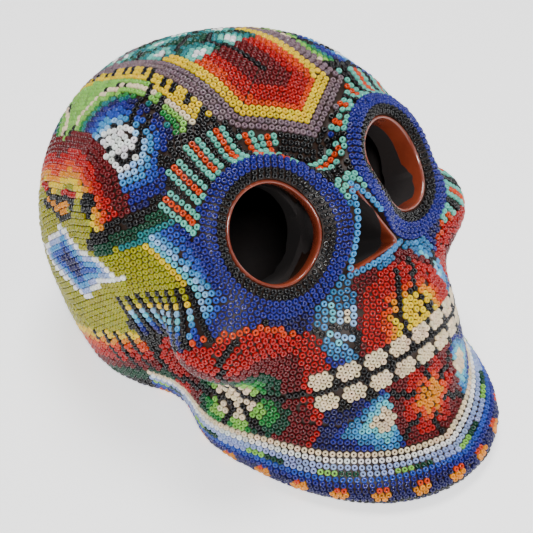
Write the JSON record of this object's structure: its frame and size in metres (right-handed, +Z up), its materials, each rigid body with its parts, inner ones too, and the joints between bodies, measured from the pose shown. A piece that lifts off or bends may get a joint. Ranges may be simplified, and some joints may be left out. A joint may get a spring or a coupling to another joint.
{
  "type": "beaded skull",
  "caption": "Hollow clay skull covered in rows of glass seed beads set in wax, with open eyes and nose, two rows of teeth and a banded jaw.",
  "frame": {"origin": "middle of the resting footprint box, on the table", "axes": "+Z up, the face looks towards -Y, +X is the skull's own left"},
  "size_m": [0.1238, 0.1787, 0.1113],
  "materials": {
    "clay": "fired clay with a dark brown-red varnish",
    "wax": "beeswax and pine resin, brown, satin",
    "beads_black": "opaque black glass seed beads, glossy",
    "beads_blue": "opaque blue glass seed beads, glossy",
    "beads_sky": "blue to turquoise glass seed beads, glossy",
    "beads_turquoise": "turquoise, orange and black glass seed beads, glossy",
    "beads_cream": "opaque cream glass seed beads, glossy",
    "beads_red": "dark red to orange glass seed beads, glossy",
    "beads_mauve": "pale mauve glass seed beads, glossy",
    "beads_olive": "olive glass seed beads with a rainbow arch, glossy",
    "beads_yellow": "yellow, black and green glass seed beads, glossy",
    "beads_green": "dark green glass seed beads with white stars, glossy"
  },
  "bodies": {
    "root": {"clay_shell": "clay", "wax_bed": "wax", "nose_edge": "beads_sky", "eye_rim_right": "beads_black", "eye_rim_left": "beads_black", "eye_ring_right": "beads_blue", "eye_ring_left": "beads_blue", "gum_line": "beads_black", "sole": "beads_blue", "jaw_band": "beads_blue", "jaw_white_rows": "beads_cream", "cheek_flower_right": "beads_red", "cheek_flower_left": "beads_red", "chin_flower": "beads_red", "chin_triangle_right": "beads_sky", "chin_triangle_left": "beads_sky", "lip_sun": "beads_red", "forehead_shield": "beads_red", "shield_border": "beads_mauve", "brow_middle": "beads_turquoise", "bird_panel_right": "beads_olive", "brow_rays_right": "beads_turquoise", "under_eye_right": "beads_sky", "bird_panel_left": "beads_olive", "brow_rays_left": "beads_turquoise", "under_eye_left": "beads_sky", "crown": "beads_green", "crown_band_right": "beads_yellow", "temple_diamond_right": "beads_blue", "crown_band_left": "beads_yellow", "temple_diamond_left": "beads_blue", "back_of_head": "beads_olive", "upper_tooth_1": "beads_cream", "upper_tooth_2": "beads_cream", "upper_tooth_3": "beads_cream", "upper_tooth_4": "beads_cream", "upper_tooth_5": "beads_cream", "upper_tooth_6": "beads_cream", "upper_tooth_7": "beads_cream", "upper_tooth_8": "beads_cream", "upper_tooth_9": "beads_cream", "lower_tooth_1": "beads_cream", "lower_tooth_2": "beads_cream", "lower_tooth_3": "beads_cream", "lower_tooth_4": "beads_cream", "lower_tooth_5": "beads_cream", "lower_tooth_6": "beads_cream", "lower_tooth_7": "beads_cream", "lower_tooth_8": "beads_cream", "lower_tooth_9": "beads_cream"}
  },
  "joints": []
}
